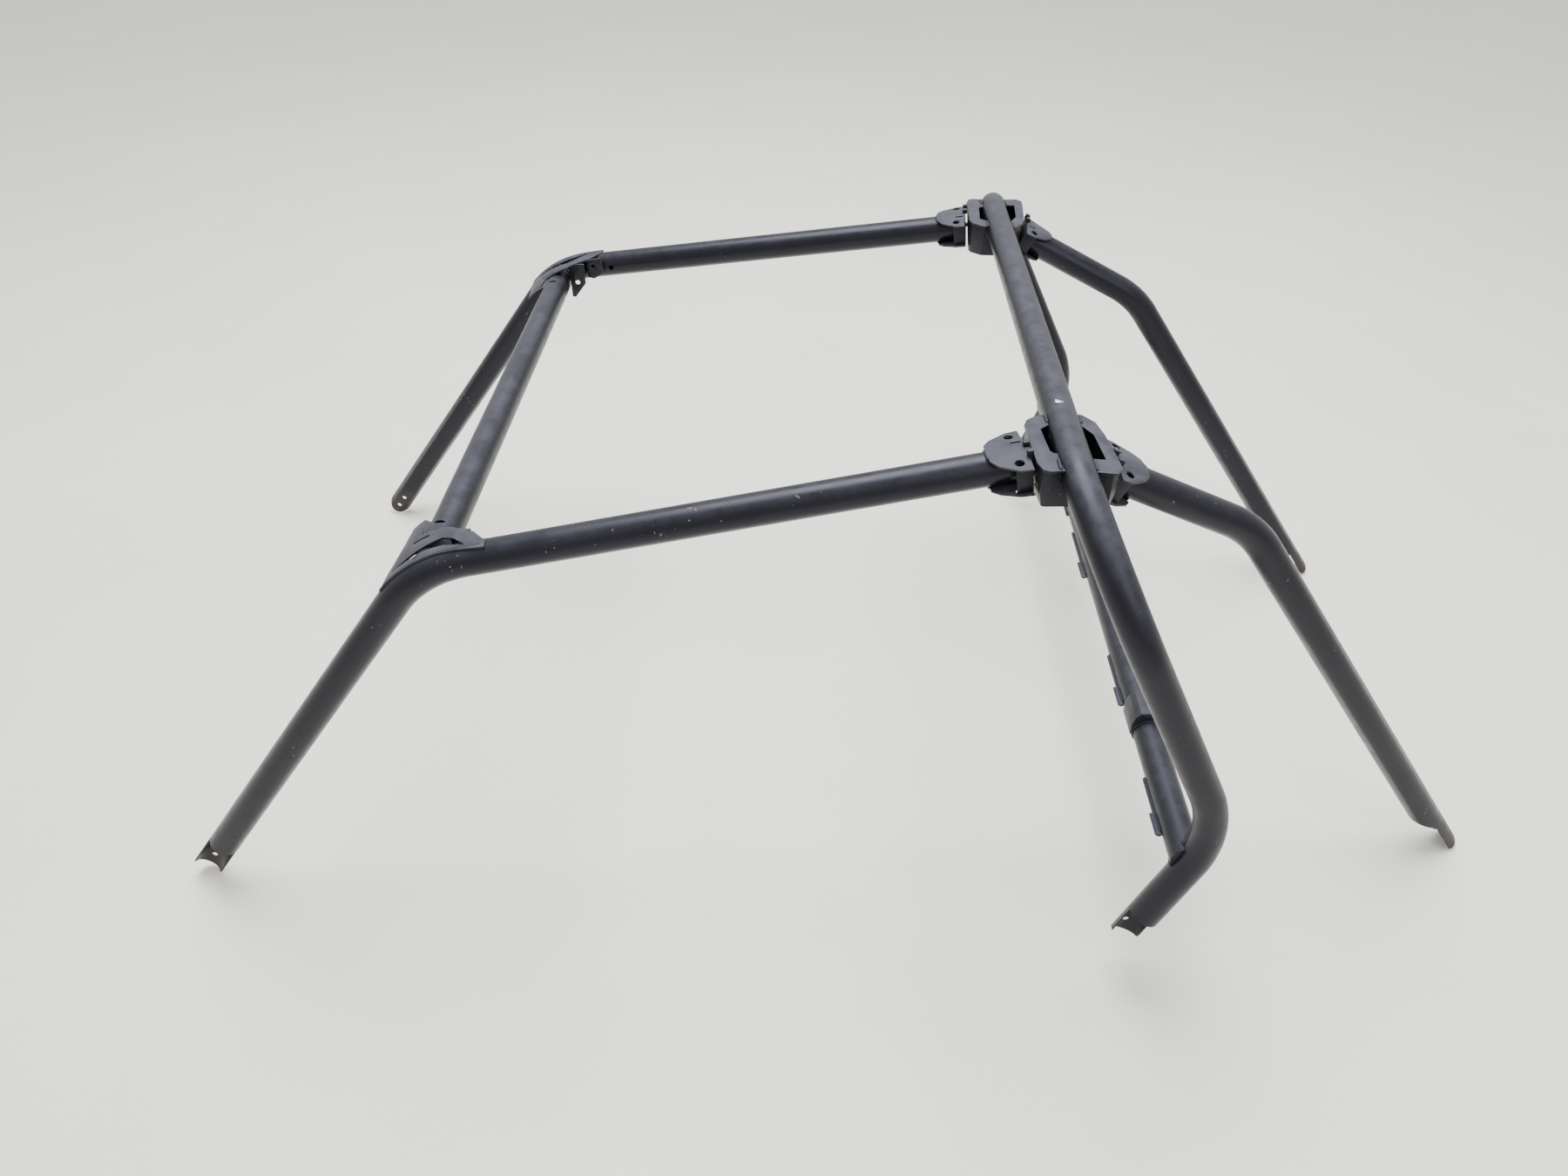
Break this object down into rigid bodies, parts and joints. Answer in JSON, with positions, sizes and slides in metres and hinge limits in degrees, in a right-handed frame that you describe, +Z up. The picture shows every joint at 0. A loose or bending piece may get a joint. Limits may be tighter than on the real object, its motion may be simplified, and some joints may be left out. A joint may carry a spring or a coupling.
{
  "type": "vehicle roll cage",
  "caption": "Tubular steel roll cage of a small off-road vehicle: main hoop with a lower crossbar, bent front rails joined by a crossbar, rear struts and bracketed joints.",
  "frame": {"origin": "under the middle of the cage's overall box, on the surface that its feet stand on", "axes": "+X towards the vehicle's rear, +Y towards its right side, +Z up"},
  "size_m": [2.0344, 1.286, 0.7741],
  "materials": {
    "tube_paint": "satin black paint, dusty and scuffed",
    "bracket_paint": "satin black paint on pressed sheet, dusty in the corners",
    "fastener_steel": "dull zinc plate"
  },
  "bodies": {
    "root": {"main_hoop": "tube_paint", "hoop_crossbar": "tube_paint", "front_crossbar": "tube_paint", "front_rail_left": "tube_paint", "front_rail_right": "tube_paint", "rear_strut_left": "tube_paint", "rear_strut_right": "tube_paint", "joint_wing_front_left": "bracket_paint", "joint_box_front_left": "bracket_paint", "ear_upper_front_left": "bracket_paint", "ear_lower_front_left": "bracket_paint", "end_web_front_left": "bracket_paint", "roof_tab_front_left": "bracket_paint", "joint_wing_rear_left": "bracket_paint", "joint_box_rear_left": "bracket_paint", "ear_upper_rear_left": "bracket_paint", "ear_lower_rear_left": "bracket_paint", "end_web_rear_left": "bracket_paint", "roof_tab_rear_left": "bracket_paint", "corner_gusset_left": "bracket_paint", "belt_guide_left": "bracket_paint", "seat_tab_1_left": "bracket_paint", "seat_tab_2_left": "bracket_paint", "joint_wing_front_right": "bracket_paint", "joint_box_front_right": "bracket_paint", "ear_upper_front_right": "bracket_paint", "ear_lower_front_right": "bracket_paint", "end_web_front_right": "bracket_paint", "roof_tab_front_right": "bracket_paint", "joint_wing_rear_right": "bracket_paint", "joint_box_rear_right": "bracket_paint", "ear_upper_rear_right": "bracket_paint", "ear_lower_rear_right": "bracket_paint", "end_web_rear_right": "bracket_paint", "roof_tab_rear_right": "bracket_paint", "corner_gusset_right": "bracket_paint", "belt_guide_right": "bracket_paint", "seat_tab_1_right": "bracket_paint", "seat_tab_2_right": "bracket_paint", "seat_tab_middle": "bracket_paint", "joint_bolt_front_left": "fastener_steel", "joint_bolt_front_right": "fastener_steel", "joint_bolt_rear_left": "fastener_steel", "joint_bolt_rear_right": "fastener_steel", "joint_nut_front_left": "fastener_steel", "joint_nut_front_right": "fastener_steel", "joint_nut_rear_left": "fastener_steel", "joint_nut_rear_right": "fastener_steel"}
  },
  "joints": []
}
